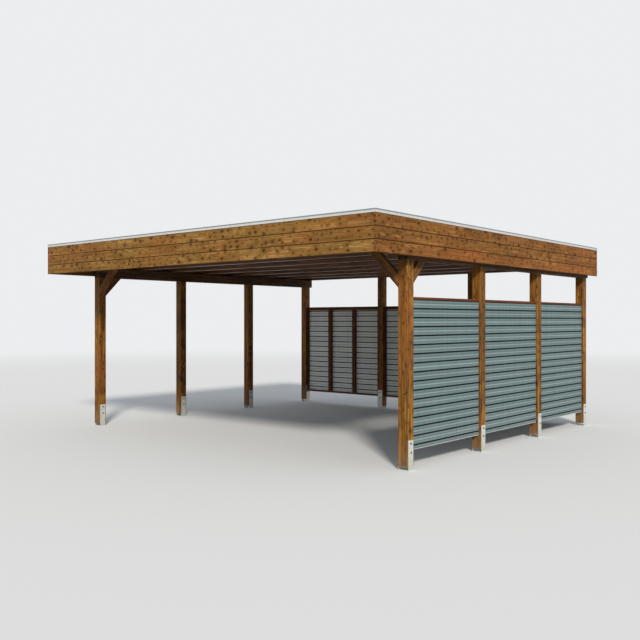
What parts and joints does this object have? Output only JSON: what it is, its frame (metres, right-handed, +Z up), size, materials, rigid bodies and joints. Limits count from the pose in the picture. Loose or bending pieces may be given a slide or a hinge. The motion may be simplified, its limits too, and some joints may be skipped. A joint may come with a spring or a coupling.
{
  "type": "carport",
  "caption": "Flat-roofed timber double carport with deep board fascia, knee-braced posts on steel anchors and boarded walls on the right and rear.",
  "frame": {"origin": "on the ground, in the middle of the roof's outline", "axes": "+Z up, +Y towards the rear wall, +X to the right seen from the front, where cars drive in"},
  "size_m": [5.91, 5.71, 2.692],
  "materials": {
    "stained_timber": "nut brown stain, satin",
    "fascia_boards": "nut brown stain, satin",
    "wall_frames": "nut brown stain, matt",
    "wall_boards": "slate grey opaque stain",
    "galvanised_steel": "hot-dip zinc",
    "edge_trim": "mill finish",
    "roof_sheet": "stucco embossed"
  },
  "bodies": {
    "root": {"beam_left": "stained_timber", "beam_right": "stained_timber", "brace_left_front": "stained_timber", "brace_left_side": "stained_timber", "brace_right_front": "stained_timber", "brace_right_side": "stained_timber", "fascia_front": "fascia_boards", "fascia_left": "fascia_boards", "fascia_right": "fascia_boards", "post_anchors_left": "galvanised_steel", "post_anchors_rear": "galvanised_steel", "post_anchors_right": "galvanised_steel", "post_left_1": "stained_timber", "post_left_2": "stained_timber", "post_left_3": "stained_timber", "post_left_4": "stained_timber", "post_rear_1": "stained_timber", "post_rear_2": "stained_timber", "post_right_1": "stained_timber", "post_right_2": "stained_timber", "post_right_3": "stained_timber", "post_right_4": "stained_timber", "rafter_1": "stained_timber", "rafter_2": "stained_timber", "rafter_3": "stained_timber", "rafter_4": "stained_timber", "rafter_5": "stained_timber", "rafter_6": "stained_timber", "rafter_7": "stained_timber", "rafter_8": "stained_timber", "rafter_9": "stained_timber", "rear_wall_1": "wall_boards", "rear_wall_2": "wall_boards", "rear_wall_3": "wall_boards", "rear_wall_frames": "wall_frames", "roof_sheet": "roof_sheet", "side_wall_1": "wall_boards", "side_wall_2": "wall_boards", "side_wall_3": "wall_boards", "side_wall_frames": "wall_frames", "trim_front": "edge_trim", "trim_left": "edge_trim", "trim_right": "edge_trim"}
  },
  "joints": []
}
